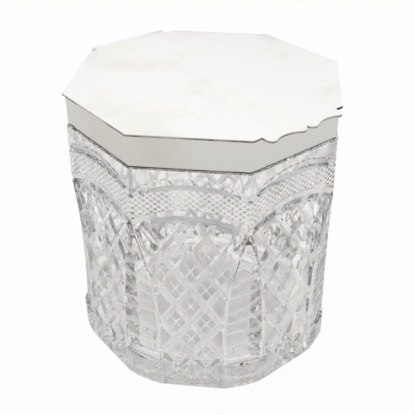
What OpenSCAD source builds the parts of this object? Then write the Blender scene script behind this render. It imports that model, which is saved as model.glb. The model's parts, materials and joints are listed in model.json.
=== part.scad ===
// Octagonal cut glass biscuit jar with a silver collar and a hinged silver lid.
// Millimetres, +Z up. The origin is the middle of the foot, the lip is at -Y and the hinge at +Y.

/* [Glass] */
// Height of the glass from its foot to its rim
glass_h = 149.3; // [140:0.1:160]
// Width of the foot across its flats
foot_w = 137.6; // [135:0.1:142]
// Width of the shoulder across its flats, just under the collar
shoulder_w = 131; // [130.6:0.1:134]
// Height of the neck that stands up inside the collar
neck_h = 14.1; // [10:0.1:18]
// Width of the inside across its flats
inside_w = 114; // [106:0.5:116]
// Width of the inside across its rounded corners
inside_d = 120; // [117:0.5:122]
// Thickness of the floor
floor_t = 12; // [8:0.5:20]
// Radius of the round between the inside wall and the floor
floor_r = 12; // [4:0.5:20]
// Size of the ground round along the edge of the foot
foot_r = 9.5; // [5:0.1:11]
// Width of the foot across its turned corners, below the flutes
foot_d = 144.4; // [144.2:0.1:147]
// Size of the round along the turned corners
turn_r = 12; // [11:0.1:13]
// Depth of the hollow under the foot
kick_d = 1.2; // [0.6:0.1:2.5]
// Width of the hollow under the foot
kick_w = 96; // [70:1:104]

/* [Arches] */
// Height of the upper arch's deepest line at the middle of a face
band_top = 129; // [124:0.5:131]
// Rise of that line from the corners to the middle
band_top_rise = 6.4; // [3:0.1:9]
// How much more the upper arch's upper edge rises than that line, and its lower edge less
band_top_close = 1.4; // [0.1:0.1:2]
// Height of the lower arch's deepest line at the middle of a face
band_low = 112.8; // [108:0.1:117]
// Rise of that line from the corners to the middle
band_low_rise = 7.2; // [4:0.1:10]
// How much more the lower arch's upper edge rises than that line, and its lower edge less
band_low_close = 0.1; // [0.1:0.1:2]
// Height of an arch's cut above its deepest line
arch_up = 2.6; // [1.5:0.1:3]
// Height of an arch's cut below its deepest line
arch_down = 2.8; // [1.5:0.1:4]
// Depth of an arch's cut
arch_d = 1.6; // [0.8:0.1:2]

/* [Diamond panel] */
// Width of one diamond
diamond_w = 14.9; // [12:0.1:18]
// Height of one diamond
diamond_h = 21.2; // [17:0.1:26]
// Height of the row of crossings at the middle of a face
crossing_z = 70.8; // [64:0.1:78]
// Number of mitre cuts each way across a face
mitre_cuts = 6; // [4:2:8]
// Glass left between the lower arch's deepest line and the ends of the mitre cuts
panel_gap = 5; // [3:0.5:8]
// Height where the lowest mitre cuts end
panel_low = 10; // [9.5:0.5:16]
// Width of a mitre cut between the diamonds
mitre_w = 4.2; // [2.5:0.1:5]
// Depth of a mitre cut
mitre_d = 1.4; // [0.8:0.1:1.8]

/* [Corner flutes] */
// Height of the pointed top of a flute
flute_top = 105.5; // [100:0.5:108]
// Height of a flute's deepest place
flute_mid = 42; // [36:0.5:50]
// Height of the ledge that closes a flute
flute_low = 22.5; // [18:0.5:26]
// How far a flute reaches onto each face at its deepest
flute_half = 10.8; // [9:0.1:12]
// Width of the mitre cut that runs beside a flute
edge_w = 2.2; // [1.4:0.1:2.8]
// Depth of that mitre cut
edge_d = 0.7; // [0.4:0.1:1]

/* [Foot cuts] */
// Number of pointed cuts over the foot's edge on one face
petals = 5; // [3:2:5]
// Height of the point of every second one of them
petal_top = 26; // [24:0.5:27]
// Height of the points of the others
petal_low = 13.5; // [12:0.5:15]
// Depth of a pointed cut at the foot
petal_d = 2.2; // [1:0.1:3]
// Width of a pointed cut at the foot
petal_w = 6; // [4:0.1:7]
// Number of cuts in the star under the foot
star_cuts = 16; // [8:8:24]
// Depth of the star's cuts
star_d = 1.2; // [0.6:0.1:2]
// Width of the star's cuts
star_w = 3.4; // [2:0.1:5]

/* [Collar] */
// Width of the collar across its flats
collar_w = 129.5; // [129:0.1:130]
// Thickness of the collar's sheet
collar_t = 0.8; // [0.5:0.1:1]
// Gap between the collar's lower edge and the glass shoulder
collar_gap = 0.5; // [0.2:0.1:1]
// Thickness of the plaster between the collar and the neck
bed_side = 0.5; // [0.3:0.1:0.8]
// Thickness of the plaster over the glass rim
bed_top = 1; // [0.6:0.1:2]
// Thickness of the flat seat that closes the collar's top
seat_t = 0.8; // [0.5:0.1:1.2]
// Depth of the inner sleeve that hangs in the mouth
sleeve_h = 9; // [7:0.5:14]
// Thickness of the inner sleeve
sleeve_t = 0.7; // [0.5:0.1:1]
// Gap between the inner sleeve and the glass
sleeve_gap = 0.3; // [0.2:0.1:0.6]

/* [Lid] */
// How far the lid stands over the collar on each side
lid_over = 1.25; // [0.6:0.05:2]
// Thickness of the lid plate
lid_t = 1.1; // [0.9:0.1:2]
// Gap between the closed lid and the seat
lid_gap = 0.2; // [0.1:0.05:0.3]
// Depth of the rim under the lid
bezel_h = 5.5; // [4:0.1:8]
// Thickness of the rim under the lid
bezel_t = 0.8; // [0.5:0.1:1.2]
// Gap between the rim and the inner sleeve
bezel_gap = 0.5; // [0.4:0.05:0.8]
// Width of the scalloped lip
lip_w = 45; // [38:0.5:50]
// How far the lip's straight root stands out of the lid
lip_root = 2.8; // [2:0.1:3.5]
// Radius of the two lobes at the middle of the lip
lobe_r = 3.6; // [3:0.1:4.2]
// Radius of the lobe at each end of the lip
ear_r = 2.8; // [2:0.1:3.2]
// How far the hollow between the lobes stands out of the lid
hollow_out = 3.8; // [3.2:0.1:4.4]
// Radius of the hollow between the lobes
hollow_r = 14; // [12:0.5:20]
// How far that hollow lies nearer the end of the lip than the middle lobe
hollow_shift = 1; // [0:0.1:1.5]

/* [Hinge] */
// Length of the hinge
hinge_l = 46; // [38:0.5:50]
// Radius of a knuckle
knuckle_r = 2.1; // [1.8:0.1:2.4]
// Radius of the hinge pin
pin_r = 0.8; // [0.6:0.05:1]
// Gap between the pin and the lid's knuckles
pin_gap = 0.05; // [0.02:0.01:0.1]
// Gap between one knuckle and the next
knuckle_gap = 0.15; // [0.1:0.05:0.3]
// Length of the plug that closes each end of the pin's bore
plug_l = 1.2; // [0.8:0.1:2]
// Thickness of the straps round the knuckles
strap_t = 0.8; // [0.6:0.1:1.1]
// Gap between a strap and the other side's knuckles
strap_gap = 0.3; // [0.2:0.05:0.4]
// Distance of the hinge axis out of the lid's edge
hinge_out = 4.3; // [3.8:0.1:4.8]
// Height of the plate that holds the hinge on the collar
bearer_h = 6.5; // [5:0.1:9]
// Angle at which the lid's strap ends, above the horizontal
strap_end = 60; // [50:1:70]
// Angle through which the lid opens
open_angle = 105; // [95:1:110]
// Angle left between the strap and its stop when the lid is open
stop_gap = 3; // [2:0.5:6]

/* [Hidden] */

$fn = 96;
faces = 8;
half_turn = 180 / faces;
over = 0.5;    // how far a cutter starts outside what it cuts
far = 200;     // longer than any side of the jar

// Heights
shoulder_z = glass_h - neck_h;
collar_z = shoulder_z + collar_gap;
seat_z = glass_h + bed_top;
seat_top = seat_z + seat_t;
lid_z = seat_top + lid_gap;
lid_top = lid_z + lid_t;

// Widths across flats
bed_w = collar_w - 2 * collar_t;
neck_w = bed_w - 2 * bed_side;
lid_w = collar_w + 2 * lid_over;

// How far each face in the mouth stands in from the glass
sleeve_in = sleeve_gap + sleeve_t;
bezel_in = sleeve_in + bezel_gap;

// Faces of the glass
draft = atan((foot_w - shoulder_w) / 2 / shoulder_z);
face_half = (foot_w + shoulder_w) / 4 * tan(half_turn);
face_l = foot_w * tan(half_turn) + 2 * over;
mitre_angle = atan(diamond_w / diamond_h);
foot_cuts = 3;    // flat cuts that round the foot's edge
foot_step = 90 / (foot_cuts + 1);

// Flutes: a wide wheel cuts each one, so its edge is an arc on the faces beside it
corner_slope = sin(half_turn);
flute_rise = flute_top - flute_mid;
edge_r = (flute_rise * flute_rise + flute_half * flute_half) / (2 * flute_half);
flute_r = edge_r / corner_slope;
flute_d = flute_half * corner_slope;
corner_l = 2 * flute_half + 8 * over;

// Hinge: four knuckles of the collar with three of the lid's between them
knuckles = 7;
axis_y = lid_w / 2 + hinge_out;
strap_r = knuckle_r + strap_t;
axis_z = lid_top - strap_r;
knuckle_l = (hinge_l - (knuckles - 1) * knuckle_gap) / knuckles;
knuckle_pitch = knuckle_l + knuckle_gap;

silver = [0.86, 0.85, 0.83];
crystal = [0.88, 0.90, 0.90, 0.45];
plaster = [0.72, 0.68, 0.6];

function arc_radius(chord, rise) = (chord * chord / 4 + rise * rise) / (2 * rise);

// An octagon with its flats w apart, two of them facing -Y and +Y
module octagon(w) {
    rotate(half_turn) circle(d = w / cos(half_turn), $fn = faces);
}

module octagon_block(w, low, high) {
    translate([0, 0, low]) linear_extrude(high - low) octagon(w);
}

module octagon_ring(w, inner_w, low, high) {
    translate([0, 0, low]) linear_extrude(high - low) difference() {
        octagon(w);
        octagon(inner_w);
    }
}

// The outline of the mouth, octagonal with rounded corners, set in all round
module mouth(inset) {
    intersection() {
        octagon(inside_w - 2 * inset);
        circle(d = inside_d - 2 * inset, $fn = 180);
    }
}

module mouth_ring(inset, t, low, high) {
    translate([0, 0, low]) linear_extrude(high - low) difference() {
        mouth(inset);
        mouth(inset + t);
    }
}

// An octagonal plate with the mouth cut out of it
module mouth_plate(w, inset, low, high) {
    translate([0, 0, low]) linear_extrude(high - low) difference() {
        octagon(w);
        mouth(inset);
    }
}

// Places its children on each face of the glass: X along the face, Y into the glass, Z up
module on_faces(first = 0, step = 1) {
    for (i = [first : step : faces - 1]) rotate(i * 360 / faces)
        translate([0, -foot_w / 2, 0]) rotate([-draft, 0, 0]) children();
}

// Places its children on each corner of the glass, with Y into the glass
module on_corners() {
    for (i = [0 : faces - 1]) rotate((i + 0.5) * 360 / faces)
        translate([0, -foot_w / 2 / cos(half_turn), 0]) rotate([-atan(tan(draft) / cos(half_turn)), 0, 0])
            children();
}

// The V section of a cut, w wide where it meets the surface and d deep
module v_section(w, d) {
    polygon([[-w / 2 * (1 + over / d), -over], [w / 2 * (1 + over / d), -over], [0, d]]);
}

// A straight V cut, centred on the origin and running along Z
module v_cut(w, d, length) {
    linear_extrude(length, center = true) v_section(w, d);
}

// The cut along an arch: it slopes into the glass from its upper edge and back out to its lower one
module arch_cut(z, rise, close) {
    up = arch_up / arch_d;
    down = arch_down / arch_d;
    up_r = arc_radius(2 * face_half, rise + close);
    down_r = arc_radius(2 * face_half, rise - close);
    low = z - 2 * rise - arch_down;
    intersection() {
        translate([0, -over, z + arch_up - up_r]) rotate([-90, 0, 0])
            cylinder(h = arch_d + 2 * over, r1 = up_r + over * up,
                     r2 = up_r - (arch_d + over) * up, $fn = 180);
        translate([-face_l / 2, -2 * over, low]) difference() {
            cube([face_l, arch_d + 4 * over, z + 2 * arch_up - low]);
            translate([face_l / 2, -over, z - arch_down - down_r - low]) rotate([-90, 0, 0])
                cylinder(h = arch_d + 6 * over, r1 = down_r - 3 * over * down,
                         r2 = down_r + (arch_d + 3 * over) * down, $fn = 180);
        }
    }
}

// The part of a face that the diamonds fill: under the arch and between the flutes
module panel_shape() {
    r = arc_radius(2 * face_half, band_low_rise);
    edge = face_half - flute_half - edge_w / 4;
    difference() {
        translate([0, band_low - r]) circle(r - panel_gap, $fn = 180);
        translate([-far / 2, panel_low - far]) square(far);
        for (side = [-1, 1]) {
            translate([side * (edge + edge_r), flute_mid]) circle(edge_r, $fn = 180);
            translate([side * (edge + far / 2) - far / 2, flute_mid - far]) square(far);
        }
    }
}

// Mitre cuts both ways across a face, kept within the panel and clear of its upper corners
module diamond_panel() {
    intersection() {
        for (lean = [-1, 1], i = [1 - mitre_cuts / 2 : mitre_cuts / 2])
            translate([lean * i * diamond_w, 0, crossing_z]) rotate([0, lean * mitre_angle, 0])
                v_cut(mitre_w, mitre_d, far);
        translate([0, mitre_d + over, 0]) rotate([90, 0, 0]) linear_extrude(mitre_d + 3 * over)
            panel_shape();
    }
}

// The curved mitre cuts that run beside the flutes
module flute_edges() {
    intersection() {
        for (side = [-1, 1]) translate([side * (face_half - flute_half + edge_r), 0, flute_mid])
            rotate([-90, 0, 0]) rotate_extrude($fn = 180) translate([edge_r, 0]) v_section(edge_w, edge_d);
        translate([-face_half, -2 * over, flute_low])
            cube([2 * face_half, edge_d + 4 * over, flute_top - flute_low]);
    }
}

// Pointed cuts that start between the lowest diamonds and deepen down over the foot's edge
module foot_petals() {
    middle = (petals - 1) / 2;
    for (i = [-middle : middle]) {
        top = i % 2 == 0 ? petal_top : petal_low;
        translate([i * diamond_w / 2, 0, top]) rotate([atan(petal_d / petal_top), 0, 0])
            translate([0, -petal_d, 0]) v_cut(petal_w, petal_d, far);
    }
}

// The flat cuts that round the foot's edge on one face
module foot_round() {
    for (turn = [1 : foot_cuts]) translate([0, foot_r, foot_r]) rotate([turn * foot_step, 0, 0])
        translate([-face_l / 2, -3 * foot_r, -2 * foot_r]) cube([face_l, 2 * foot_r, 4 * foot_r]);
}

module flute() {
    intersection() {
        translate([-corner_l / 2, flute_d - flute_r, flute_mid]) rotate([0, 90, 0])
            cylinder(h = corner_l, r = flute_r, $fn = 360);
        translate([-corner_l, -far / 2, flute_low]) cube([2 * corner_l, far, flute_top - flute_low + over]);
    }
}

// The foot's corners are turned round below the flutes, with the same slopes as its edges
module foot_turn() {
    reach = turn_r / cos(foot_step / 2);
    centre = foot_d / 2 - turn_r;
    rotate_extrude($fn = 180) polygon(concat(
        [[foot_d / 2, flute_low], [foot_w, flute_low], [foot_w, -over], [centre, -over]],
        [for (turn = [foot_cuts + 0.5 : -1 : 0.5])
            [centre + reach * cos(turn * foot_step), turn_r - reach * sin(turn * foot_step)]]));
}

module foot_star() {
    translate([0, 0, kick_d]) for (i = [0 : star_cuts / 2 - 1]) rotate(i * 360 / star_cuts)
        rotate([90, 0, 0]) linear_extrude(kick_w - star_w, center = true) v_section_up();
}

module v_section_up() {
    polygon([[-star_w / 2 * (1 + over / star_d), -over], [star_w / 2 * (1 + over / star_d), -over],
             [0, star_d]]);
}

// The hollow of the jar, octagonal with rounded corners and a rounded floor
module glass_inside() {
    intersection() {
        octagon_block(inside_w, floor_t, glass_h + over);
        rotate_extrude($fn = 180) {
            translate([0, floor_t]) square([inside_d / 2 - floor_r, far]);
            translate([0, floor_t + floor_r]) square([inside_d / 2, far]);
            translate([inside_d / 2 - floor_r, floor_t + floor_r]) circle(floor_r);
        }
    }
}

// The glass before it is cut
module glass_blank() difference() {
    octagon_block(foot_w, 0, glass_h);
    on_faces() translate([-face_l / 2, -far / 2, -far / 2]) cube([face_l, far / 2, 2 * far]);
    octagon_ring(2 * foot_w, neck_w, shoulder_z, glass_h + over);
    glass_inside();
    translate([0, 0, -over]) cylinder(h = kick_d + over, d = kick_w);
}

// The upper arch over every second face from the first one on. Done in two turns, because the cuts
// of neighbouring faces meet at the corners.
module upper_arches(first) {
    on_faces(first, 2) arch_cut(band_top, band_top_rise, band_top_close);
}

// The two arches over each face, with the band between them
module glass_arches() difference() {
    difference() {
        difference() {
            glass_blank();
            upper_arches(0);
        }
        upper_arches(1);
    }
    on_faces() arch_cut(band_low, band_low_rise, band_low_close);
}

// The edge of the foot and the corners, ground and fluted
module glass_corners() difference() {
    glass_arches();
    on_faces() foot_round();
    on_corners() flute();
    foot_turn();
}

module glass_jar() color(crystal) difference() {
    difference() {
        difference() {
            glass_corners();
            on_faces() diamond_panel();
        }
        on_faces() flute_edges();
    }
    on_faces() foot_petals();
    foot_star();
}

module plaster_bed() color(plaster) {
    octagon_ring(bed_w, neck_w, shoulder_z, glass_h);
    mouth_plate(bed_w, sleeve_gap, glass_h, seat_z);
}

module collar_band() color(silver) octagon_ring(collar_w, bed_w, collar_z, seat_top);

module collar_seat() color(silver) mouth_plate(bed_w, sleeve_in, seat_z, seat_top);

module collar_sleeve() color(silver) mouth_ring(sleeve_gap, sleeve_t, seat_z - sleeve_h, seat_z);

module lid_plate() color(silver) octagon_block(lid_w, lid_z, lid_top);

module lid_bezel() color(silver) mouth_ring(bezel_in, bezel_t, lid_z - bezel_h, lid_z);

// One half of the lip's outline, X along the lid's edge and Y out of it
module half_lip() {
    ear_x = lip_w / 2 - ear_r;
    square([lip_w / 2, lip_root]);
    translate([lobe_r, lip_root]) circle(lobe_r);
    translate([ear_x, lip_root]) circle(ear_r);
    difference() {
        translate([lobe_r, lip_root]) square([ear_x - lobe_r, lobe_r]);
        translate([(lobe_r + ear_x) / 2 + hollow_shift, hollow_out + hollow_r]) circle(hollow_r, $fn = 180);
    }
}

module thumb_lip() color(silver)
    translate([0, -lid_w / 2, lid_z]) mirror([0, 1, 0]) linear_extrude(lid_t) intersection() {
        union() {
            half_lip();
            mirror([1, 0]) half_lip();
        }
        translate([-far / 2, 0]) square(far);
    }

// A cylinder on the hinge axis from knuckle number first to last, side mm longer at each end
module on_hinge(r, first, last, side = 0) {
    x = -hinge_l / 2 + first * knuckle_pitch - side;
    translate([x, axis_y, axis_z]) rotate([0, 90, 0])
        cylinder(h = (last - first) * knuckle_pitch + knuckle_l + 2 * side, r = r);
}

module knuckle(i, bore_r) color(silver) difference() {
    on_hinge(knuckle_r, i, i);
    on_hinge(bore_r, i, i, over);
}

module collar_knuckle(i) knuckle(2 * i, pin_r);
module lid_knuckle(i) knuckle(2 * i + 1, pin_r + pin_gap);

// A section seen along X, its own X towards the back and its Y up, drawn as long as the hinge
module hinge_section() {
    translate([-hinge_l / 2, axis_y, axis_z]) rotate([90, 0, 90]) linear_extrude(hinge_l) children();
}

// Everything in front of a line through the hinge axis that leans up at an angle
module before_line(angle) {
    rotate(angle) translate([-far / 2, 0]) square(far);
}

// The lid's strap runs from the plate's edge back over the knuckles
module lid_strap() color(silver) difference() {
    hinge_section() difference() {
        union() {
            intersection() {
                circle(strap_r);
                translate([-far / 2, lid_z - axis_z]) square(far);
                before_line(strap_end);
            }
            translate([-hinge_out, lid_z - axis_z]) square([hinge_out - strap_t, lid_t]);
        }
        circle(knuckle_r);
    }
    for (i = [0 : 2 : knuckles - 1]) on_hinge(knuckle_r + strap_gap, i, i, knuckle_gap);
}

// The collar's bearer stands on the band and cups the knuckles from below
module collar_bearer() color(silver) {
    stop = strap_end - open_angle - stop_gap;
    wall = collar_w / 2 - axis_y;
    top = seat_top - axis_z;
    difference() {
        hinge_section() difference() {
            union() {
                circle(strap_r);
                polygon([[wall, top], [wall, top - bearer_h], [wall + collar_t, top - bearer_h],
                         [0, -strap_r], [0, top]]);
            }
            circle(knuckle_r);
            translate([-knuckle_r, 0]) square(far);
            rotate(stop) square(far);
            translate([-far, top]) square(2 * far);
        }
        for (i = [1 : 2 : knuckles - 1]) on_hinge(knuckle_r + strap_gap, i, i, knuckle_gap);
    }
}

module hinge_pin() color(silver) translate([-hinge_l / 2 + plug_l, axis_y, axis_z]) rotate([0, 90, 0])
    cylinder(h = hinge_l - 2 * plug_l, r = pin_r);

module pin_plug(side) color(silver) translate([side * (hinge_l - plug_l) / 2, axis_y, axis_z])
    rotate([0, 90, 0]) cylinder(h = plug_l, r = pin_r, center = true);

glass_jar();
plaster_bed();
collar_band();
collar_seat();
collar_sleeve();
collar_bearer();
collar_knuckle(0);  // collar_knuckle_left
collar_knuckle(1);  // collar_knuckle_mid_left
collar_knuckle(2);  // collar_knuckle_mid_right
collar_knuckle(3);  // collar_knuckle_right
hinge_pin();
pin_plug(-1);  // pin_plug_left
pin_plug(1);  // pin_plug_right
lid_plate();
thumb_lip();
lid_bezel();
lid_strap();
lid_knuckle(0);  // lid_knuckle_left
lid_knuckle(1);  // lid_knuckle_middle
lid_knuckle(2);  // lid_knuckle_right
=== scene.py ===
import json
import math

import bmesh
import bpy
from mathutils import Matrix, Vector

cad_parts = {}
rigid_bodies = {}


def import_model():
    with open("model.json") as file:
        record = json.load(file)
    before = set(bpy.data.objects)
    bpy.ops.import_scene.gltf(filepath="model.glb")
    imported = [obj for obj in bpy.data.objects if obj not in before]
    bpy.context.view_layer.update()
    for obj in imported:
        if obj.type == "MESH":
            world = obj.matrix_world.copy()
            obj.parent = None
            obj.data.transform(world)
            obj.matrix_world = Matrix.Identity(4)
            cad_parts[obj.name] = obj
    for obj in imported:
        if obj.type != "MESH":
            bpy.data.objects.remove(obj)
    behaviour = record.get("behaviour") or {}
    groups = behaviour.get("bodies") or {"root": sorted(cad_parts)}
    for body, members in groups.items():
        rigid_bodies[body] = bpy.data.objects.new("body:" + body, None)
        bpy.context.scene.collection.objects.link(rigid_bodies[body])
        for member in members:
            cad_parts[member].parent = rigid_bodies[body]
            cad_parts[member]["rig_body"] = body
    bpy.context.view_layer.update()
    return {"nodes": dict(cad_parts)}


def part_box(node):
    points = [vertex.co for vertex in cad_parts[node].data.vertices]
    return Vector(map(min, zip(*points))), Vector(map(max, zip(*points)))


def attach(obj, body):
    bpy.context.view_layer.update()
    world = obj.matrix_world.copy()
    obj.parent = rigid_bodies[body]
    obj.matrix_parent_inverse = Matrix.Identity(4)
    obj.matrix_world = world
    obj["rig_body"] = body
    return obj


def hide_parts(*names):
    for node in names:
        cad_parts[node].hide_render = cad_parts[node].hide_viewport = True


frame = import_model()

nodes = frame["nodes"]
mm = 0.001
print("frame loaded,", len(nodes), "nodes")


# small mesh helpers

meshWork = {
    "merge": 0.0001,         # distance between points that are the same, mm
    "flat": 0.3,             # angle between faces that count as one, degrees
    "bevelFrom": 35,         # angle from which a silver edge is rounded
    "silverSharp": 30,       # angle from which an edge shows as sharp
    "glassSharp": 5.2,
}


def newObject(name, mesh):
    thing = bpy.data.objects.new(name, mesh)
    bpy.context.scene.collection.objects.link(thing)
    return thing


def meshFromPoints(name, points, faces):
    mesh = bpy.data.meshes.new(name)
    mesh.from_pydata([tuple(p) for p in points], [], faces)
    work = bmesh.new()
    work.from_mesh(mesh)
    bmesh.ops.recalc_face_normals(work, faces=work.faces)
    work.to_mesh(mesh)
    work.free()
    return mesh


def changeMesh(thing, change):
    work = bmesh.new()
    work.from_mesh(thing.data)
    change(work)
    work.to_mesh(thing.data)
    work.free()


def mergePoints(work):
    bmesh.ops.remove_doubles(work, verts=work.verts, dist=meshWork["merge"] * mm)


def joinFlatFaces(work):
    bmesh.ops.dissolve_limit(work, angle_limit=math.radians(meshWork["flat"]), verts=work.verts,
                             edges=work.edges)


def cleanCopy(node, name):
    # a node's points and faces without its split edges and stored normals
    source = nodes[node].data
    faces = [list(face.vertices) for face in source.polygons]
    mesh = bpy.data.meshes.new(name)
    mesh.from_pydata([v.co for v in source.vertices], [], faces)
    thing = newObject(name, mesh)
    changeMesh(thing, mergePoints)
    return thing


def shade(thing, angle):
    thing.data.shade_smooth()
    thing.data.set_sharp_from_angle(angle=math.radians(angle))


def dress(thing, body, slot, material, *replaced):
    thing.data.materials.clear()
    thing.data.materials.append(material)
    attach(thing, body)
    if replaced:
        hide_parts(*replaced)


def bake(thing):
    # takes the modifiers' result as the object's own mesh
    graph = bpy.context.evaluated_depsgraph_get()
    result = bpy.data.meshes.new_from_object(thing.evaluated_get(graph))
    old = thing.data
    thing.modifiers.clear()
    thing.data = result
    bpy.data.meshes.remove(old)


def cutWith(thing, tool, operation="DIFFERENCE"):
    modifier = thing.modifiers.new("cut", "BOOLEAN")
    modifier.operation = operation
    modifier.solver = "MANIFOLD"
    modifier.object = tool
    bake(thing)


def discard(thing):
    mesh = thing.data
    bpy.data.objects.remove(thing)
    bpy.data.meshes.remove(mesh)


def extrude(outline, low, high):
    # an outline in x and y, carried along z
    count = len(outline)
    points = [(x, y, low) for x, y in outline] + [(x, y, high) for x, y in outline]
    faces = [list(range(count)), list(range(count, 2 * count))]
    faces += [[i, (i + 1) % count, count + (i + 1) % count, count + i] for i in range(count)]
    return points, faces


# materials, all of them worked out from the place on the piece

def addNode(tree, kind, inputs=None, **settings):
    item = tree.nodes.new("ShaderNode" + kind)
    for key, value in settings.items():
        setattr(item, key, value)
    for key, value in (inputs or {}).items():
        if isinstance(value, bpy.types.NodeSocket):
            tree.links.new(value, item.inputs[key])
        else:
            item.inputs[key].default_value = value
    return item


def newMaterial(name):
    material = bpy.data.materials.new(name)
    material.use_nodes = True
    tree = material.node_tree
    place = addNode(tree, "TexCoord").outputs["Object"]
    return material, tree, tree.nodes["Principled BSDF"], place


def heightOf(tree, place):
    return addNode(tree, "SeparateXYZ", {"Vector": place}).outputs["Z"]


def distanceOf(tree, place):
    return addNode(tree, "VectorMath", {0: place}, operation="LENGTH").outputs["Value"]


def multiply(tree, first, second):
    return addNode(tree, "Math", {0: first, 1: second}, operation="MULTIPLY").outputs[0]


def larger(tree, first, second):
    return addNode(tree, "Math", {0: first, 1: second}, operation="MAXIMUM").outputs[0]


def between(tree, value, fromLow, fromHigh, toLow=0.0, toHigh=1.0):
    return addNode(tree, "MapRange", {"Value": value, "From Min": fromLow, "From Max": fromHigh,
                                      "To Min": toLow, "To Max": toHigh}).outputs[0]


def noise(tree, place, scale, detail=3.0, rough=0.55, stretch=(1, 1, 1)):
    moved = addNode(tree, "Mapping", {"Vector": place, "Scale": stretch}).outputs[0]
    return addNode(tree, "TexNoise", {"Vector": moved, "Scale": scale, "Detail": detail,
                                      "Roughness": rough}).outputs["Fac"]


def patches(tree, place, pattern, toLow=0.0, toHigh=1.0):
    # a pattern is a noise's scale and detail, and the values of it that give toLow and toHigh
    scale, detail, fromLow, fromHigh = pattern
    return between(tree, noise(tree, place, scale, detail), fromLow, fromHigh, toLow, toHigh)


def blendColours(tree, share, first, second):
    mix = addNode(tree, "Mix", data_type="RGBA")
    for key, value in ((0, share), (6, first), (7, second)):
        if isinstance(value, bpy.types.NodeSocket):
            tree.links.new(value, mix.inputs[key])
        else:
            mix.inputs[key].default_value = (*value, 1)
    return mix.outputs[2]


def bump(tree, height, relief, before=None):
    # a relief is a strength and a depth in mm
    strength, depth = relief
    item = addNode(tree, "Bump", {"Height": height, "Strength": strength, "Distance": depth * mm})
    if before:
        tree.links.new(before, item.inputs["Normal"])
    return item.outputs[0]


def mixShaders(tree, share, first, second):
    return addNode(tree, "MixShader", {0: share, 1: first.outputs[0], 2: second.outputs[0]})


crystal = {
    "colour": (0.998, 0.988, 0.983),
    "worn": (0.98, 0.966, 0.958),
    "greyed": (0.64, 0.632, 0.626),        # painted shade: a grey that stands in for the shaded floor seen through the flats
    "scattered": (0.97, 0.955, 0.948),     # light thrown back by a surface that isn't polished
    "residue": (0.13, 0.075, 0.04),        # brown dirt left in the deepest corners
    "ior": 1.53,
    "roughness": (0.0, 0.035),
    "shadeGreyRoughness": (0.12, 0.26),
    "groundRoughness": (0.5, 0.02),        # underside and floor: in the middle, and round it
    "groundEnd": (40, 46),                 # mm from the middle, where one gives way to the other
    "ripple": (0.5, 0.02),                 # strength, and depth in mm
    "rippleNoise": (90, 1),
    "wearPattern": (60, 3, 0.45, 0.75),
    "roughnessPattern": (180, 3, 0.35, 0.8),
    "scatterPattern": (120, 2, 0.3, 0.7),
    "residuePattern": (420, 2, 0.56, 0.62),
    # painted reflection: a wave of bright lines across the flutes
    "reflectedWaves": {"Scale": 40.0, "Distortion": 9.0, "Detail": 1.0, "Detail Scale": 0.9},
    "reflectedWaveEnds": (0.5, 1.0),           # values of the wave that give none and all of the painted reflection
    "litWallHeights": (60, 95),              # mm, where the walls' lower share of painted light gives way to the upper
}
# share of light that a finish scatters: in clean and in scratched places, or low and high on the jar
scatter = {
    "polished": (0.0, 0.04),
    "rubbed": (0.15, 0.5),                 # foot
    "neck": (0.38, 0.62),                  # plain glass under the collar
    "fineCut": (0.85, 1.0),                # fine diamonds
    "fluteReflection": (0.08, 0.45),            # flutes: painted reflection, bright wavy lines across them
    "wheelCut": (0.78, 0.34),              # walls of the cuts that face down, low and high: painted light, whiter than those that face up
    "upperWall": (0.34, 0.06),             # walls that face up, low and high, with less of the painted light
    "residue": (0.0, 0.9),
}


def makeCrystal(name, finish="polished", residue=False):
    material, tree, shader, place = newMaterial(name)
    shader.inputs["Transmission Weight"].default_value = 1
    shader.inputs["IOR"].default_value = crystal["ior"]
    wear = patches(tree, place, crystal["wearPattern"])
    # the grey flats take a grey colour as painted shade
    clear = crystal["greyed" if finish == "greyed" else "colour"]
    tree.links.new(blendColours(tree, wear, clear, crystal["worn"]), shader.inputs["Base Color"])
    if finish == "ground":
        ends = [end * mm for end in crystal["groundEnd"]]
        roughness = between(tree, distanceOf(tree, place), *ends, *crystal["groundRoughness"])
    else:
        ends = crystal["shadeGreyRoughness" if finish == "greyed" else "roughness"]
        roughness = patches(tree, place, crystal["roughnessPattern"], *ends)
    tree.links.new(roughness, shader.inputs["Roughness"])
    ripple = bump(tree, noise(tree, place, *crystal["rippleNoise"]), crystal["ripple"])
    tree.links.new(ripple, shader.inputs["Normal"])
    bloom = addNode(tree, "BsdfDiffuse", {"Color": (*crystal["scattered"], 1), "Normal": ripple})
    ends = scatter.get(finish, scatter["polished"])
    if finish == "fluteReflection":
        # painted reflection: bright wavy bands across the flutes
        wave = addNode(tree, "TexWave", {"Vector": place, **crystal["reflectedWaves"]},
                       bands_direction="Z").outputs["Fac"]
        share = between(tree, wave, *crystal["reflectedWaveEnds"], *ends)
    elif finish in ("wheelCut", "upperWall"):
        # painted light on the cut walls: a white share that changes with height, more on walls that
        # face down
        heights = [z * mm for z in crystal["litWallHeights"]]
        share = between(tree, heightOf(tree, place), *heights, *ends)
    else:
        share = patches(tree, place, crystal["scatterPattern"], *ends)
    mix = mixShaders(tree, share, shader, bloom)
    if residue:
        dirt = addNode(tree, "BsdfDiffuse", {"Color": (*crystal["residue"], 1)})
        share = patches(tree, place, crystal["residuePattern"], *scatter["residue"])
        mix = mixShaders(tree, share, mix, dirt)
    tree.links.new(mix.outputs[0], tree.nodes["Material Output"].inputs["Surface"])
    return material


silver = {
    "polished": (0.955, 0.948, 0.93),
    "stained": (0.87, 0.85, 0.79),
    "roughness": (0.06, 0.2),
    "dents": (0.6, 0.05),                  # strength, and depth in mm
    "dentNoise": (16, 1),
    "scratches": (0.35, 0.004),
    "scratchNoise": (900, 2, 0.7, (1, 0.06, 0.4)),
    "stainPattern": (26, 4, 0.5, 0.72),
    "roughnessPattern": (45, 5, 0.3, 0.75),
    "darkPattern": (90, 3, 0.35, 0.62),
}
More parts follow.
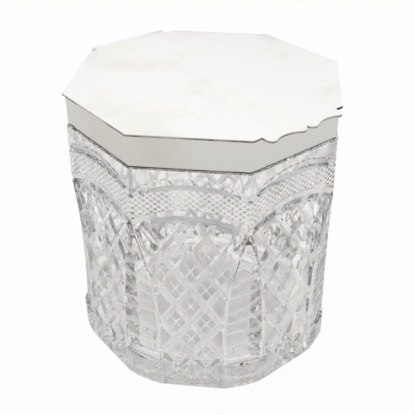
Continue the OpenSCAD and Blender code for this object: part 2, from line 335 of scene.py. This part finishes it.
# what darkens the metal downwards, between two heights in mm, and its least and largest share
# painted shade: the lid's edge faces darken towards their lower side, in patches
paintedEdgeShade = {"colour": (0.15, 0.11, 0.045), "heights": (151.8, 152.25), "share": (0.2, 1)}
# darker towards the band's lower edge, in patches
bandLowDarkening = {"colour": (0.03, 0.022, 0.015), "heights": (136.2, 136.5), "share": (0.5, 1)}


def makeSilver(name, darkening=None):
    material, tree, shader, place = newMaterial(name)
    shader.inputs["Metallic"].default_value = 1
    stains = patches(tree, place, silver["stainPattern"])
    colour = blendColours(tree, stains, silver["polished"], silver["stained"])
    # darker downwards between two heights; on the lid's edge this is painted shade
    if darkening:
        low, high = (z * mm for z in darkening["heights"])
        below = between(tree, heightOf(tree, place), high, low)
        dark = multiply(tree, below, patches(tree, place, silver["darkPattern"], *darkening["share"]))
        colour = blendColours(tree, dark, colour, darkening["colour"])
    tree.links.new(colour, shader.inputs["Base Color"])
    roughness = patches(tree, place, silver["roughnessPattern"], *silver["roughness"])
    tree.links.new(roughness, shader.inputs["Roughness"])
    dents = bump(tree, noise(tree, place, *silver["dentNoise"]), silver["dents"])
    scratches = bump(tree, noise(tree, place, *silver["scratchNoise"]), silver["scratches"], dents)
    tree.links.new(scratches, shader.inputs["Normal"])
    return material


pinSteel = {
    "colours": ((0.62, 0.6, 0.57), (0.42, 0.4, 0.37)),
    "drawn": (1500, 2, 0.6, (0.03, 1, 1)), # noise drawn out along the wire
    "drawnEnds": (0.3, 0.7),
    "roughness": (0.25, 0.5),
    "scratches": (0.4, 0.003),
}


def makePinSteel():
    material, tree, shader, place = newMaterial("pinMetal")
    shader.inputs["Metallic"].default_value = 1
    drawn = noise(tree, place, *pinSteel["drawn"])
    tree.links.new(blendColours(tree, drawn, *pinSteel["colours"]), shader.inputs["Base Color"])
    roughness = between(tree, drawn, *pinSteel["drawnEnds"], *pinSteel["roughness"])
    tree.links.new(roughness, shader.inputs["Roughness"])
    tree.links.new(bump(tree, drawn, pinSteel["scratches"]), shader.inputs["Normal"])
    return material


plaster = {
    "colours": ((0.72, 0.69, 0.63), (0.84, 0.81, 0.75)),
    # darker towards the bottom, between the heights below, in mm
    "grime": (0.4, 0.36, 0.31),
    "darkerLowHeights": (136.5, 138),
    "grain": (700, 4),
    "grainEnds": (0.3, 0.7),
    "grainRelief": (0.6, 0.05),
    "roughness": (0.8, 1),
}


def makePlaster():
    material, tree, shader, place = newMaterial("dryPlaster")
    low, high = (z * mm for z in plaster["darkerLowHeights"])
    grime = between(tree, heightOf(tree, place), high, low)
    grain = noise(tree, place, *plaster["grain"])
    colour = blendColours(tree, grain, *plaster["colours"])
    colour = blendColours(tree, grime, colour, plaster["grime"])
    tree.links.new(colour, shader.inputs["Base Color"])
    roughness = between(tree, grain, *plaster["grainEnds"], *plaster["roughness"])
    tree.links.new(roughness, shader.inputs["Roughness"])
    tree.links.new(bump(tree, grain, plaster["grainRelief"]), shader.inputs["Normal"])
    return material


crystalGlass = makeCrystal("crystalGlass")
groundGlass = makeCrystal("groundGlass", "ground")
litWallGlass = makeCrystal("litWallGlass", "wheelCut")
fineGlass = makeCrystal("fineGlass", "fineCut")
shadeGreyGlass = makeCrystal("shadeGreyGlass", "greyed")
fluteGlass = makeCrystal("fluteGlass", "fluteReflection")
rubbedGlass = makeCrystal("rubbedGlass", "rubbed")
neckGlass = makeCrystal("neckGlass", "neck")
upperGlass = makeCrystal("upperGlass", "upperWall")
cornerGlass = makeCrystal("cornerGlass", "polished", True)
wornSilver = makeSilver("wornSilver")
shadedEdgeSilver = makeSilver("shadedEdgeSilver", paintedEdgeShade)
bandSilver = makeSilver("bandSilver", bandLowDarkening)
pinMetal = makePinSteel()
dryPlaster = makePlaster()
print("materials made")


# cut glass

glass = {
    "footWidth": 137.6,      # across the flats at the foot, mm
    "shoulderWidth": 131,    # and just under the collar
    "shoulderHeight": 135.2,
    "lowArch": (112.8, 7.2), # lower arch: height at the middle of a face, rise from the corners
    "panelGap": 5,           # between it and the ends of the mitre cuts
    "panelFoot": 10,
    "diamond": (14.9, 21.2), # width and height of one in the lattice
    "crossing": 70.8,        # height of a crossing at the middle of a face
    "mitre": (4.2, 1.4),     # width and depth of a mitre cut
    "fluteHalf": 10.8,
    "fluteEdge": 1.1,        # half of the cut beside a flute
    "fluteMid": 42,          # height from which a flute narrows
    "fluteTop": 105.5,
}
arches = {                   # height at the middle of a face and rise from the corners, mm
    "rim": (131.6, 7.8),     # upper arch: its upper edge, deepest line and lower edge
    "crease": (127.9, 6.3),
    "bandTop": (126.2, 5.0),
    "bandLow": (115.4, 7.3), # lower arch
    "lowCrease": (111.7, 7.1),
    "fieldTop": (109.9, 7.0),
    "depth": 1.25,
    "ringHeights": (101.8, 133.5),   # glass made new for them round the neck of the blank
    "ringDepth": 3,
    "ringProud": 0.002,
}
cutter = {
    "lift": 0.6,             # how far it stands out of the glass, mm
    "overrun": 1.2,          # and how far past a face's corners
    "steps": 48,             # pieces of an arch
    "tip": 0.02,             # share of the depth left at a point
    "full": (-0.4, -0.6),    # between these places of its length a cut has its full depth
    "block": (-5, 8),        # how far out and in a block reaches
    "blockFoot": 60,
}
fineDiamonds = {
    "size": (3.5, 2.8),      # width and height of one
    "table": 0.68,           # share of it that stays flat
    "depth": 0.35,
    "margin": 0.25,          # plain glass left beside the arches
    "lift": 1.5,             # how far the teeth that cut them stand out of the glass
    "block": (-2, 3),        # how far out and in the block reaches that trims the teeth
    "teeth": 24,             # on either side of the middle one
    "length": 110,
    "middle": 118,           # height at which they turn
}
crossCut = {                 # fine cross in each whole diamond
    "size": (10.6, 0.95, 0.32),      # length, width and depth of a cut
    "margin": 3.2,           # from the edges of the panel
    "columns": 3,            # half diamonds looked at, either way
    "rows": 5,
}
mitreTip = {                 # how the mitre cuts run out to a point
    "reach": 1.9,            # past the end of the blank's cut, mm
    "inside": 4,             # and back along it
    "lines": (-2, -1, 0),    # cuts that get one, counted from the middle
    "step": 0.1,             # taken on the way to the arch
    "slimmer": 0.995,        # against the blank's own cut
}
scallop = {"pitch": 3.8, "size": (4.8, 1.8, 0.4)}
# each ray: x and z of its point, lean outwards in degrees, length, width and depth
rays = [
    (24.8, 104.5, -24, 12, 2.2, 0.7),
    (24.8, 104.5, -8, 15, 1.6, 0.5),
    (0.3, 26.5, 18, 15, 2.4, 0.8),
    (0.6, 27.0, 52, 10, 2.0, 0.6),
    (7.45, 15, 26, 9, 2.2, 0.7),
    (7.45, 15, -20, 9, 2.2, 0.7),
    (14.9, 24, 24, 13, 2.2, 0.7),
    (14.3, 24.6, -54, 9, 1.8, 0.5),
]

sides = 8
sideTurn = 360 / sides
draft = math.atan((glass["footWidth"] - glass["shoulderWidth"]) / 2 / glass["shoulderHeight"])
faceHalf = (glass["footWidth"] + glass["shoulderWidth"]) / 4 * math.tan(math.radians(sideTurn / 2))
mitreLean = math.atan(glass["diamond"][0] / glass["diamond"][1])


def faceMatrix(index):
    # x along the face, y into the glass, z up, in mm
    return (Matrix.Rotation(math.radians(sideTurn * index), 4, "Z")
            @ Matrix.Translation((0, -glass["footWidth"] / 2 * mm, 0))
            @ Matrix.Rotation(-draft, 4, "X") @ Matrix.Scale(mm, 4))


def archCircle(arch):
    height, rise = arch
    radius = (faceHalf ** 2 + rise ** 2) / (2 * rise)
    return radius, height - radius


def archHeight(arch, x, outwards=0.0):
    radius, centreZ = archCircle(arch)
    return centreZ + math.sqrt((radius + outwards) ** 2 - x * x)


def acrossFace():
    # places from one side of a face to the other, a little past its corners
    reach = faceHalf + cutter["overrun"]
    return [reach * (2 * i / cutter["steps"] - 1) for i in range(cutter["steps"] + 1)]


def alongDepth(shape):
    # turns an extruded outline, so that it lies in the face and goes into the glass
    points, faces = shape
    return [(x, y, z) for x, z, y in points], faces


def tube(rings):
    # faces of a closed shape made of triangles one after another
    last = 3 * (rings - 1)
    faces = [[0, 1, 2], [last, last + 1, last + 2]]
    for a in range(0, last, 3):
        faces += [[a, a + 1, a + 4, a + 3], [a + 1, a + 2, a + 5, a + 4], [a + 2, a, a + 3, a + 5]]
    return faces


def archCut(upper, crease, lower):
    # a V cut along an arch, from its upper edge to its crease and back out to its lower edge
    points, depth, lift = [], arches["depth"], cutter["lift"]
    for x in acrossFace():
        top, middle, low = archHeight(upper, x), archHeight(crease, x), archHeight(lower, x)
        points += [(x, -lift, top + (top - middle) * lift / depth),
                   (x, -lift, low - (middle - low) * lift / depth), (x, depth, middle)]
    return points, tube(cutter["steps"] + 1)


def underArch(arch):
    # everything below an arch on one face, as a block
    outline = [(x, archHeight(arch, x)) for x in acrossFace()]
    outline += [(outline[-1][0], cutter["blockFoot"]), (outline[0][0], cutter["blockFoot"])]
    return alongDepth(extrude(outline, *cutter["block"]))


def bandRegion():
    # the band of fine diamonds on one face, as a block round it
    margin = fineDiamonds["margin"]
    upper = [(x, archHeight(arches["bandTop"], x, -margin)) for x in acrossFace()]
    lower = [(x, archHeight(arches["bandLow"], x, margin)) for x in acrossFace()]
    return alongDepth(extrude(upper + lower[::-1], *fineDiamonds["block"]))


def octagonRing():
    # the outer glass between two heights, a hair proud of the faces so that it joins them
    low, high = arches["ringHeights"]
    out, thick = -arches["ringProud"], arches["ringDepth"]
    points = []
    for z, inset in ((low, out), (high, out), (high, thick), (low, thick)):
        reach = glass["footWidth"] / 2 - math.tan(draft) * z - inset
        for i in range(sides):
            turn = math.radians(sideTurn * i + sideTurn / 2)
            reachCorner = reach / math.cos(math.radians(sideTurn / 2))
            x, y = reachCorner * math.sin(turn), -reachCorner * math.cos(turn)
            points.append((x * mm, y * mm, z * mm))
    faces = []
    for ring in range(4):
        a, b = sides * ring, sides * ((ring + 1) % 4)
        faces += [[a + i, a + (i + 1) % sides, b + (i + 1) % sides, b + i] for i in range(sides)]
    return points, faces


def comb(pitch, table, depth, count, length):
    # V teeth along x with flats between them, cut into y and carried along z
    teeth = []
    half = pitch * (1 - table) / 2
    for i in range(-count, count + 1):
        teeth += [(i * pitch - half, 0), (i * pitch, depth), (i * pitch + half, 0)]
    outline = teeth + [(teeth[-1][0], -fineDiamonds["lift"]), (teeth[0][0], -fineDiamonds["lift"])]
    return extrude(outline, -length / 2, length / 2)


def vCut(profile, length, width, depth):
    # a V cut down from the origin; the profile gives places along it and the share of its depth there
    points, lift = [], cutter["lift"]
    for place, part in profile:
        half = width / 2 * (depth * part + lift) / depth
        z = place * length
        points += [(-half, -lift, z), (half, -lift, z), (0, depth * part, z)]
    return points, tube(len(profile))


def wheelCut(length, width, depth):
    # starts as a point and ends as one
    tip, (start, end) = cutter["tip"], cutter["full"]
    return vCut(((0, tip), (start, 1.0), (end, 1.0), (-1, tip)), length, width, depth)


def runOut(length, full, width, depth):
    # starts as a point and keeps its full depth for the lowest part of its length
    return vCut(((0, cutter["tip"]), (full - 1, 1.0), (-1, 1.0)), length, width, depth)


def placed(shape, x, z, lean=0.0):
    # turned in the plane of the face by lean, then put at x, z on it
    points, faces = shape
    matrix = Matrix.Translation((x, 0, z)) @ Matrix.Rotation(lean, 4, "Y")
    return [matrix @ Vector(p) for p in points], faces


def joined(shapes):
    points, faces = [], []
    for somePoints, someFaces in shapes:
        start = len(points)
        points += list(somePoints)
        faces += [[start + i for i in face] for face in someFaces]
    return points, faces


def cutFaces(thing, shape, faces=range(sides)):
    # cuts the same shape into each face; shapes on neighbouring faces must not meet
    points, walls = shape
    onFaces = [([faceMatrix(index) @ Vector(p) for p in points], walls) for index in faces]
    tool = newObject("cutter", meshFromPoints("cutter", *joined(onFaces)))
    cutWith(thing, tool)
    discard(tool)


def cutInTurns(thing, shape):
    # for shapes that meet at the corners: every other face, then the rest
    for first in (0, 1):
        cutFaces(thing, shape, range(first, sides, 2))


def bandTeeth(turn):
    # the teeth that lean one way, trimmed to the band
    width, height = fineDiamonds["size"]
    pitch = width * height / math.hypot(width, height)
    lean = turn * (math.pi / 2 - math.atan(height / width))
    teeth = comb(pitch, *(fineDiamonds[key] for key in ("table", "depth", "teeth", "length")))
    teeth = placed(teeth, 0, fineDiamonds["middle"], lean)
    thing = newObject("bandTeeth", meshFromPoints("bandTeeth", *teeth))
    region = newObject("bandRegion", meshFromPoints("bandRegion", *bandRegion()))
    cutWith(thing, region, "INTERSECT")
    points = [vertex.co.copy() for vertex in thing.data.vertices]
    faces = [list(face.vertices) for face in thing.data.polygons]
    discard(thing)
    discard(region)
    return points, faces


def insidePanel(x, z, margin):
    radius, centreZ = archCircle(glass["lowArch"])
    rise = glass["fluteTop"] - glass["fluteMid"]
    edgeRadius = (rise ** 2 + glass["fluteHalf"] ** 2) / (2 * glass["fluteHalf"])
    edgeX = faceHalf - glass["fluteHalf"] - glass["fluteEdge"] + edgeRadius
    belowArch = math.hypot(x, z - centreZ) < radius - glass["panelGap"] - margin
    clearOfFlute = math.hypot(edgeX - abs(x), max(z - glass["fluteMid"], 0)) > edgeRadius + margin
    return belowArch and clearOfFlute and z > glass["panelFoot"] + margin


def diamondCrosses(lean):
    # one fine cut of the cross in the middle of each whole diamond
    width, height = glass["diamond"]
    length = crossCut["size"][0]
    columns, rows = crossCut["columns"], crossCut["rows"]
    shapes = []
    for a in range(-columns, columns + 1):
        for b in range(-rows, rows + 1):
            x, z = a * width / 2, glass["crossing"] + b * height / 2
            if (a + b) % 2 and insidePanel(x, z, crossCut["margin"]):
                topX = x + lean * math.sin(mitreLean) * length / 2
                topZ = z + math.cos(mitreLean) * length / 2
                shapes.append(placed(wheelCut(*crossCut["size"]), topX, topZ, lean * mitreLean))
    return joined(shapes)


def mitreTips(lean):
    # the mitre cuts run out to a point towards the lower arch
    radius, centreZ = archCircle(glass["lowArch"])
    width, depth = (size * mitreTip["slimmer"] for size in glass["mitre"])
    reach, inside, step = mitreTip["reach"], mitreTip["inside"], mitreTip["step"]
    length = reach / math.cos(mitreLean) + inside
    shapes = []
    for i in mitreTip["lines"]:
        x, z = lean * i * glass["diamond"][0], glass["crossing"]
        while math.hypot(x, z - centreZ) < radius - glass["panelGap"] + reach:
            x, z = x + lean * math.sin(mitreLean) * step, z + math.cos(mitreLean) * step
        shapes.append(placed(runOut(length, inside / length, width, depth), x, z, lean * mitreLean))
    return joined(shapes)


def rimScallops(first):
    # short cuts end to end along the upper edge of the upper arch, every second one at a time
    radius, centreZ = archCircle(arches["rim"])
    step = scallop["pitch"] / radius
    count = int((math.asin(faceHalf / radius) - step) / step)
    shapes = []
    for i in range(-count, count + 1):
        if i % 2 == first:
            turn = i * step + scallop["size"][0] / 2 / radius
            x, z = radius * math.sin(turn), centreZ + radius * math.cos(turn)
            shapes.append(placed(wheelCut(*scallop["size"]), x, z, math.pi / 2 + i * step))
    return joined(shapes)


def rayCut(side, x, z, lean, *size):
    return placed(wheelCut(*size), side * x, z, -side * math.radians(lean))


def makeGlass():
    body = cleanCopy("glass_jar", "cutGlassBody")
    ring = newObject("ring", meshFromPoints("ring", *octagonRing()))
    cutInTurns(ring, underArch(arches["fieldTop"]))
    cutWith(body, ring, "UNION")
    discard(ring)
    for names in (("rim", "crease", "bandTop"), ("bandLow", "lowCrease", "fieldTop")):
        cutInTurns(body, archCut(*(arches[name] for name in names)))
    for turn in (1, -1):
        cutInTurns(body, bandTeeth(turn))
    for way in (1, -1):
        cutFaces(body, diamondCrosses(way))
        cutFaces(body, mitreTips(way))
        for ray in rays:
            cutFaces(body, rayCut(way, *ray))
    for first in (0, 1):
        cutFaces(body, rimScallops(first))
    return body


zones = {                    # mm
    "underside": 2.5,        # its greatest height
    "floor": 12.1,           # and the floor's
    "floorReach": 52,
    "floorLift": 0.9,        # least lift of a normal on the floor
    "wall": 60,              # least distance from the axis
    "wallTop": 140,
    "fluteTips": (99, 107),  # where dirt stays, next to the octagon's corners
    "tipReach": 4.5,
    "smallFace": 3,          # mm2
}
allTurns, allLifts = (-1, 2), (-2, 2)
# the first that fits a face of the outer wall: its finish, its heights in mm, how far its normal
# turns along the side of the octagon and how far it lifts, both as parts of 1
finishRules = [
    (cornerGlass, (21, 24), allTurns, (0.5, 2)),            # ledges under the flutes
    (fineGlass, (106, 128), (0.28, 2), (-2, -0.3)),         # walls of the fine diamonds
    (fineGlass, (106, 128), (0.28, 2), (0.3, 2)),
    (shadeGreyGlass, (106, 126), (-1, 0.05), (-0.05, 0.05)),   # and their flats, painted grey as shade
    (shadeGreyGlass, (103, 129), allTurns, (0.4, 2)),          # arched cuts, painted grey as shade
    (neckGlass, (128, 138), (-1, 0.05), (-0.1, 0.1)),
    (litWallGlass, (8, 134.5), allTurns, (-2, -0.18)),        # walls that face down, in the whiter copy as painted light
    (upperGlass, (24, 112), allTurns, (0.25, 2)),           # and up
    (litWallGlass, (22, 106), (0.52, 2), (-0.12, 0.12)),      # cuts beside the flutes
    (litWallGlass, (22, 106), (0.1, 0.2), (-0.12, 0.12)),
    (fluteGlass, (22, 106), (0.1, 2), (-0.12, 0.12)),
    (rubbedGlass, (zones["underside"], 22), allTurns, allLifts),
]
glassFinishes = [crystalGlass, groundGlass, litWallGlass, fineGlass, shadeGreyGlass,
                 fluteGlass, rubbedGlass, neckGlass, upperGlass, cornerGlass]


def inside(value, ends):
    return ends[0] < value < ends[1]


def glassFinish(face):
    x, y, height = face.center / mm
    reach, lift = math.hypot(x, y), face.normal.z
    onFloor = height < zones["floor"] and reach < zones["floorReach"] and lift > zones["floorLift"]
    if onFloor or height < zones["underside"] and reach < zones["wall"]:
        return groundGlass
    if reach <= zones["wall"] or not inside(height, (zones["underside"], zones["wallTop"])):
        return crystalGlass
    step = math.radians(sideTurn)
    side = round(math.atan2(x, -y) / step) * step
    alongFace = Vector((math.cos(side), math.sin(side), 0))
    turn = abs(face.normal.dot(alongFace))
    fromCorner = faceHalf - abs(face.center.dot(alongFace) / mm)
    if inside(height, zones["fluteTips"]) and fromCorner < zones["tipReach"]:
        return cornerGlass
    for finish, heights, turns, lifts in finishRules:
        if inside(height, heights) and inside(turn, turns) and inside(lift, lifts):
            small = finish is upperGlass and face.area < zones["smallFace"] * mm * mm
            return litWallGlass if small else finish
    return crystalGlass


body = makeGlass()
shade(body, meshWork["glassSharp"])
dress(body, "jar", "crystal_glass", crystalGlass, "glass_jar")
for finish in glassFinishes[1:]:
    body.data.materials.append(finish)
for face in body.data.polygons:
    face.material_index = glassFinishes.index(glassFinish(face))
print("glass cut,", len(body.data.polygons), "faces")


# silver, each piece with its edges rounded by hand finishing

softEdges = {                # radius left by the polishing, mm
    "collar_band": 0.3,
    "collar_seat": 0.15,
    "collar_sleeve": 0.15,
    "collar_bearer": 0.15,
    "collar_knuckle_left": 0.15,
    "collar_knuckle_mid_left": 0.12,
    "collar_knuckle_mid_right": 0.12,
    "collar_knuckle_right": 0.15,
    "lid_bezel": 0.15,
    "lid_knuckle_left": 0.12,
    "lid_knuckle_middle": 0.12,
    "lid_knuckle_right": 0.12,
    "pin_plug_left": 0.15,
    "pin_plug_right": 0.15,
}
lidSheet = {
    "edge": 0.3,             # radius of its edges, mm
    "segments": 4,
    "strapEdge": 0.15,
    "overlap": 0.6,          # between plate, lip and strap while they are one
    "joint": 3,              # length of the blocks that join them
    "lipRoot": 0.01,         # how near the plate a point of the lip counts as its root
    "edgeLift": 0.98,        # below this lift of its normal a face belongs to the edge
}


def camel(node):
    first, *rest = node.split("_")
    return first + "".join(word.capitalize() for word in rest)


def soften(thing, width, segments=3):
    changeMesh(thing, joinFlatFaces)
    bevel = thing.modifiers.new("edges", "BEVEL")
    bevel.width = width * mm
    bevel.segments = segments
    bevel.limit_method = "ANGLE"
    bevel.angle_limit = math.radians(meshWork["bevelFrom"])
    bake(thing)
    shade(thing, meshWork["silverSharp"])


def softSilver(node, width, material):
    piece = cleanCopy(node, camel(node))
    soften(piece, width)
    dress(piece, frame["nodes"][node]["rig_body"], "silver", material, node)


def grown(thing, low, high):
    # joins a block to the thing, so that the edge that meets its neighbour stays sharp
    outline = [(low[0], low[1]), (high[0], low[1]), (high[0], high[1]), (low[0], high[1])]
    extra = newObject("extra", meshFromPoints("extra", *extrude(outline, low[2], high[2])))
    cutWith(thing, extra, "UNION")
    discard(extra)


def keepSide(thing, y, front):
    # leaves what lies in front of or behind y, and closes the cut
    def cut(work):
        everything = work.verts[:] + work.edges[:] + work.faces[:]
        made = bmesh.ops.bisect_plane(work, geom=everything, plane_co=(0, y, 0), plane_no=(0, 1, 0),
                                      clear_outer=front, clear_inner=not front)
        rim = [item for item in made["geom_cut"] if isinstance(item, bmesh.types.BMEdge)]
        bmesh.ops.holes_fill(work, edges=rim)
    changeMesh(thing, cut)
    shade(thing, meshWork["silverSharp"])


def makeLid():
    # plate, lip and strap are finished as one sheet, then parted along their solder lines
    low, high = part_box("lid_plate")
    strapLow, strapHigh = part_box("lid_strap")
    reach, joint = lidSheet["overlap"] * mm, lidSheet["joint"] * mm
    sheet = cleanCopy("lid_plate", "lidPlate")
    lip = cleanCopy("thumb_lip", "lipBlank")
    for vertex in lip.data.vertices:
        if vertex.co.y > low.y - lidSheet["lipRoot"] * mm:
            vertex.co.y += reach
    cutWith(sheet, lip, "UNION")
    discard(lip)
    grown(sheet, (strapLow.x, high.y - reach, low.z), (strapHigh.x, high.y + joint, high.z))
    soften(sheet, lidSheet["edge"], lidSheet["segments"])
    lip = newObject("thumbLip", sheet.data.copy())
    keepSide(sheet, high.y, True)
    keepSide(sheet, low.y, False)
    keepSide(lip, low.y, True)
    strap = cleanCopy("lid_strap", "lidStrap")
    grown(strap, (strapLow.x, high.y - joint, low.z), (strapHigh.x, high.y + reach, high.z))
    soften(strap, lidSheet["strapEdge"])
    keepSide(strap, high.y, False)
    for piece, node in ((sheet, "lid_plate"), (lip, "thumb_lip")):
        dress(piece, "lid", "silver", wornSilver, node)
        # the edge faces get the silver with the painted shade
        piece.data.materials.append(shadedEdgeSilver)
        for face in piece.data.polygons:
            face.material_index = abs(face.normal.z) < lidSheet["edgeLift"]
    dress(strap, "lid", "silver", wornSilver, "lid_strap")


for node, width in softEdges.items():
    softSilver(node, width, bandSilver if node == "collar_band" else wornSilver)
makeLid()
for node, material in (("hinge_pin", pinMetal), ("plaster_bed", dryPlaster)):
    nodes[node].data.materials.clear()
    nodes[node].data.materials.append(material)
print("silver finished")


# stage

view = {
    "position": (-202.7085, -254.6063, 287.1222),   # mm
    "target": (0.508, -0.406, 74.4),
    "lens": 60.2,
    "sensor": 36,
    "near": 10,
}
light = {
    "ceiling": 1.0,
    "horizon": 0.9,
    "ceilingFrom": 0.6,      # height on the sky's sphere from which it is all ceiling
    "whiteShare": 0.96,      # how much of the plain white the camera sees on the floor
    "underShare": 0.62,      # how much of it the glass shows of the floor under the jar,
    "besideShare": 0.92,     # beside it in its shade
    "farShare": 1.0,         # and farther out
    "shade": (62, 68, 90, 115),      # where these begin and end, mm from the middle
}
paper = {"colour": (0.66, 0.65, 0.63), "reach": 3000, "drop": 0.2}   # mm
white = (1, 1, 1, 1)
bounces = {"max_bounces": 32, "transmission_bounces": 32, "glossy_bounces": 16}


def makeCamera():
    camera = bpy.data.cameras.new("camera")
    camera.lens = view["lens"]
    camera.sensor_width = view["sensor"]
    camera.clip_start = view["near"] * mm
    holder = newObject("camera", camera)
    place, target = (Vector(view[key]) * mm for key in ("position", "target"))
    holder.location = place
    holder.rotation_euler = (target - place).to_track_quat("-Z", "Y").to_euler()
    bpy.context.scene.camera = holder


def whiteShare(tree, glassShare):
    # camera rays see the white paper, and glass shows a part of it
    path = addNode(tree, "LightPath").outputs
    seen = multiply(tree, path["Is Camera Ray"], light["whiteShare"])
    through = multiply(tree, path["Is Transmission Ray"], glassShare)
    return larger(tree, seen, through)


def floorShare(tree):
    # under the jar the paper gets the light that the glass lets through; its shade lies beside it
    inner, edge, outer, end = (r * mm for r in light["shade"])
    distance = distanceOf(tree, addNode(tree, "TexCoord").outputs["Object"])
    near = between(tree, distance, inner, edge, light["underShare"], light["besideShare"])
    far = between(tree, distance, outer, end, 0, light["farShare"])
    return larger(tree, near, far)


def makeFloor():
    reach = paper["reach"] * mm
    points = [(-reach, -reach, 0), (reach, -reach, 0), (reach, reach, 0), (-reach, reach, 0)]
    floor = newObject("floor", meshFromPoints("floor", points, [[0, 1, 2, 3]]))
    floor.location.z = -paper["drop"] * mm
    material = bpy.data.materials.new("whitePaper")
    material.use_nodes = True
    tree = material.node_tree
    tree.nodes.clear()
    sheet = addNode(tree, "BsdfDiffuse", {"Color": (*paper["colour"], 1)})
    plain = addNode(tree, "Emission", {"Color": white, "Strength": 1.0})
    mix = mixShaders(tree, whiteShare(tree, floorShare(tree)), sheet, plain)
    addNode(tree, "OutputMaterial", {"Surface": mix.outputs[0]})
    floor.data.materials.append(material)


def makeWorld():
    world = bpy.data.worlds.new("studio")
    bpy.context.scene.world = world
    world.use_nodes = True
    tree = world.node_tree
    tree.nodes.clear()
    up = heightOf(tree, addNode(tree, "TexCoord").outputs["Generated"])
    strength = between(tree, up, 0.0, light["ceilingFrom"], light["horizon"], light["ceiling"])
    tent = addNode(tree, "Background", {"Color": white, "Strength": strength})
    plain = addNode(tree, "Background", {"Color": white, "Strength": 1.0})
    mix = mixShaders(tree, whiteShare(tree, 0.0), tent, plain)
    addNode(tree, "OutputWorld", {"Surface": mix.outputs[0]})


makeCamera()
makeFloor()
makeWorld()
bpy.context.scene.view_settings.view_transform = "Standard"
for name, count in bounces.items():
    setattr(bpy.context.scene.cycles, name, count)
print("stage set")
